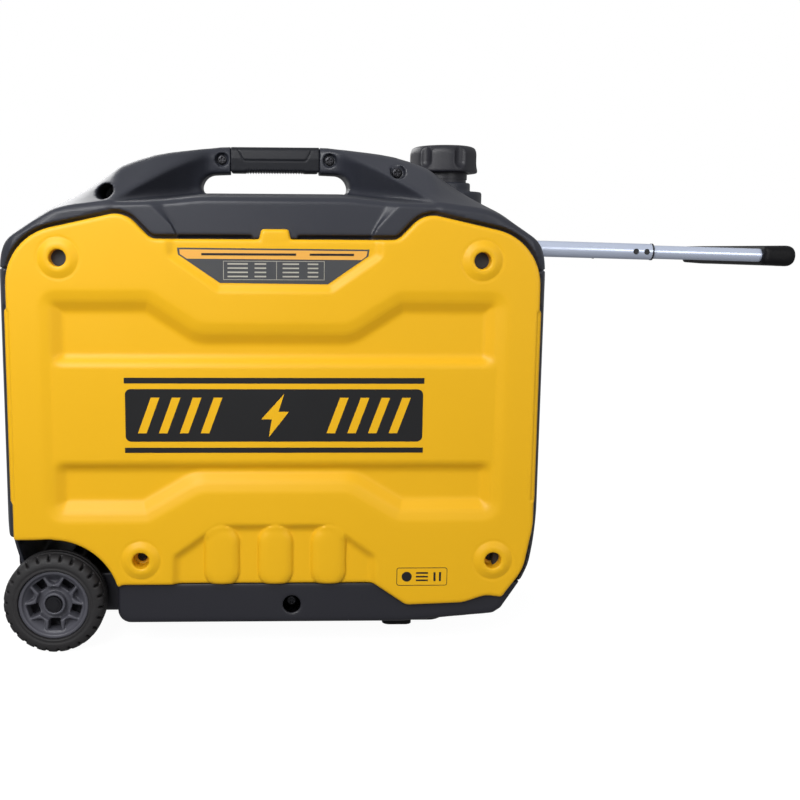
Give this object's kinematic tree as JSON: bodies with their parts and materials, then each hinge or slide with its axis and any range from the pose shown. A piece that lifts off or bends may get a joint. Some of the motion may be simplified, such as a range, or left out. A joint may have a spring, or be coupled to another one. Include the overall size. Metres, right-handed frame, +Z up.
{
  "type": "inverter generator",
  "caption": "Suitcase inverter generator: yellow recessed side covers in dark shells, carrying handle, fuel cap, two transport wheels and a two-stage telescopic pull handle.",
  "frame": {"origin": "on the ground under the middle of the whole object's box, pull handle drawn out", "axes": "+Z up, +X along the length towards the control panel and pull handle, +Y across the width towards the recoil starter side"},
  "size_m": [0.875, 0.35, 0.557],
  "materials": {
    "yellow_plastic": "moulded, satin, fine texture",
    "dark_plastic": "moulded charcoal plastic, fine grain",
    "base_plastic": "dark moulded plastic",
    "soft_grip": "soft overmould",
    "screw_steel": "dark zinc",
    "feet_rubber": "plain",
    "axle_steel": "turned",
    "hub_plastic": "grey moulded nylon",
    "tyre": "solid rubber with tread",
    "tube_aluminium": "anodised",
    "handle_rubber": "dark grip",
    "button_plastic": "black",
    "tank_steel": "black paint",
    "cast_aluminium": "as cast",
    "steel": "machined",
    "laminations": "stacked steel with windings",
    "fan_plastic": "black nylon",
    "rope": "braided cord",
    "filter_foam": "open foam",
    "hot_steel": "heat tinted",
    "heatsink": "extruded",
    "panel_plastic": "fascia",
    "socket_plastic": "socket insert",
    "lens": "display window",
    "switch_red": "button",
    "knob_yellow": "knob",
    "brass": "plated",
    "ceramic": "plug insulator"
  },
  "bodies": {
    "housing": {"ac_outlets": "socket_plastic", "air_filter_box": "fan_plastic", "air_filter_element": "filter_foam", "axle": "axle_steel", "axle_clips": "axle_steel", "base_pan": "base_plastic", "carburettor": "cast_aluminium", "control_panel": "panel_plastic", "cover_screws": "screw_steel", "crankcase": "cast_aluminium", "cylinder": "cast_aluminium", "cylinder_head": "cast_aluminium", "dc_sockets": "button_plastic", "display": "lens", "earth_terminal": "brass", "engine_mounts": "feet_rubber", "exhaust_outlet": "hot_steel", "fan_shroud": "fan_plastic", "front_cover": "dark_plastic", "fuel_tank": "tank_steel", "handle_grip": "soft_grip", "handle_guides": "base_plastic", "heat_shield": "hot_steel", "inverter_module": "heatsink", "lid_pins": "steel", "main_bearings": "steel", "muffler": "hot_steel", "rear_cover": "dark_plastic", "recoil_housing": "fan_plastic", "rubber_feet": "feet_rubber", "side_cover_far": "yellow_plastic", "side_cover_near": "yellow_plastic", "spark_plug": "ceramic", "stator": "laminations", "top_cover": "dark_plastic", "valve_cover": "steel"},
    "wheel_near": {"wheel_hub_near": "hub_plastic", "tyre_near": "tyre"},
    "wheel_far": {"wheel_hub_far": "hub_plastic", "tyre_far": "tyre"},
    "handle_stage_1": {"handle_tubes_outer": "tube_aluminium"},
    "handle_stage_2": {"handle_tubes_inner": "tube_aluminium", "pull_grip": "handle_rubber"},
    "release_button": {"release_button": "button_plastic"},
    "cap_core": {"fuel_cap_core": "base_plastic"},
    "cap_knob": {"fuel_cap": "base_plastic"},
    "outlet_lid_a": {"outlet_lid_a": "base_plastic"},
    "outlet_lid_b": {"outlet_lid_b": "base_plastic"},
    "breaker_a": {"breaker_a": "button_plastic"},
    "breaker_b": {"breaker_b": "button_plastic"},
    "economy_rocker": {"economy_rocker": "switch_red"},
    "engine_switch": {"engine_switch": "knob_yellow"},
    "service_door": {"service_door": "yellow_plastic"},
    "recoil_grip": {"recoil_grip": "handle_rubber", "recoil_rope": "rope"},
    "recoil_pulley": {"recoil_pulley": "fan_plastic"},
    "crank": {"crankshaft": "steel", "rotor": "laminations", "cooling_fan": "fan_plastic"},
    "oil_filler_cap": {"oil_filler_cap": "switch_red"}
  },
  "joints": [
    {"name": "wheel_near_spin", "type": "hinge", "parent": "housing", "child": "wheel_near", "pos_m": [-0.3755, -0.1515, 0.055], "axis": [0, 1, 0], "continuous": true},
    {"name": "wheel_far_spin", "type": "hinge", "parent": "housing", "child": "wheel_far", "pos_m": [-0.3755, 0.1515, 0.055], "axis": [0, 1, 0], "continuous": true},
    {"name": "handle_stage_1_slide", "type": "slide", "parent": "housing", "child": "handle_stage_1", "axis": [0.9997, 0, -0.0244], "range_m": [-0.126, 0]},
    {"name": "handle_stage_2_slide", "type": "slide", "parent": "handle_stage_1", "child": "handle_stage_2", "axis": [0.9997, 0, -0.0244], "range_m": [-0.12, 0]},
    {"name": "release_button_press", "type": "slide", "parent": "handle_stage_2", "child": "release_button", "axis": [0.9997, 0, -0.0244], "range_m": [0, 0.003], "stiffness_N_per_m": 800},
    {"name": "fuel_cap_lift", "type": "slide", "parent": "housing", "child": "cap_core", "axis": [0, 0, 1], "range_m": [0, 0.08]},
    {"name": "fuel_cap_turn", "type": "hinge", "parent": "cap_core", "child": "cap_knob", "pos_m": [0.0675, 0.03, 0.54], "axis": [0, 0, 1], "continuous": true},
    {"name": "outlet_lid_a_swing", "type": "hinge", "parent": "housing", "child": "outlet_lid_a", "pos_m": [0.1454, -0.082, 0.237], "axis": [0, -1, 0], "range_deg": [0, 110], "stiffness_Nm_per_rad": 0.05, "springref_deg": -17.19},
    {"name": "outlet_lid_b_swing", "type": "hinge", "parent": "housing", "child": "outlet_lid_b", "pos_m": [0.1454, -0.018, 0.237], "axis": [0, -1, 0], "range_deg": [0, 110], "stiffness_Nm_per_rad": 0.05, "springref_deg": -17.19},
    {"name": "breaker_a_press", "type": "slide", "parent": "housing", "child": "breaker_a", "axis": [-1, 0, 0], "range_m": [0, 0.004], "stiffness_N_per_m": 500},
    {"name": "breaker_b_press", "type": "slide", "parent": "housing", "child": "breaker_b", "axis": [-1, 0, 0], "range_m": [0, 0.004], "stiffness_N_per_m": 500},
    {"name": "economy_rocker_tilt", "type": "hinge", "parent": "housing", "child": "economy_rocker", "pos_m": [0.137, -0.082, 0.285], "axis": [0, 1, 0], "range_deg": [-8, 8]},
    {"name": "engine_switch_turn", "type": "hinge", "parent": "housing", "child": "engine_switch", "pos_m": [0.1425, 0.07, 0.31], "axis": [1, 0, 0], "range_deg": [0, 90]},
    {"name": "service_door_swing", "type": "hinge", "parent": "housing", "child": "service_door", "pos_m": [-0.2235, 0.1732, 0.263], "axis": [0, 0, 1], "range_deg": [0, 100]},
    {"name": "recoil_pull", "type": "slide", "parent": "housing", "child": "recoil_grip", "axis": [0, 1, 0], "range_m": [0, 0.28], "stiffness_N_per_m": 20},
    {"name": "recoil_pulley_spin", "type": "hinge", "parent": "housing", "child": "recoil_pulley", "pos_m": [0.0185, 0, 0.19], "axis": [1, 0, 0], "range_deg": [-350, 0]},
    {"name": "crank_spin", "type": "hinge", "parent": "housing", "child": "crank", "pos_m": [-0.1375, 0, 0.19], "axis": [1, 0, 0], "continuous": true},
    {"name": "oil_filler_cap_turn", "type": "hinge", "parent": "housing", "child": "oil_filler_cap", "pos_m": [-0.1875, 0.08, 0.15], "axis": [0, 1, 0], "continuous": true}
  ],
  "couplings": [
    {"joint": "recoil_pulley_spin", "follows": "recoil_pull", "rad_per_m": -21.5}
  ]
}
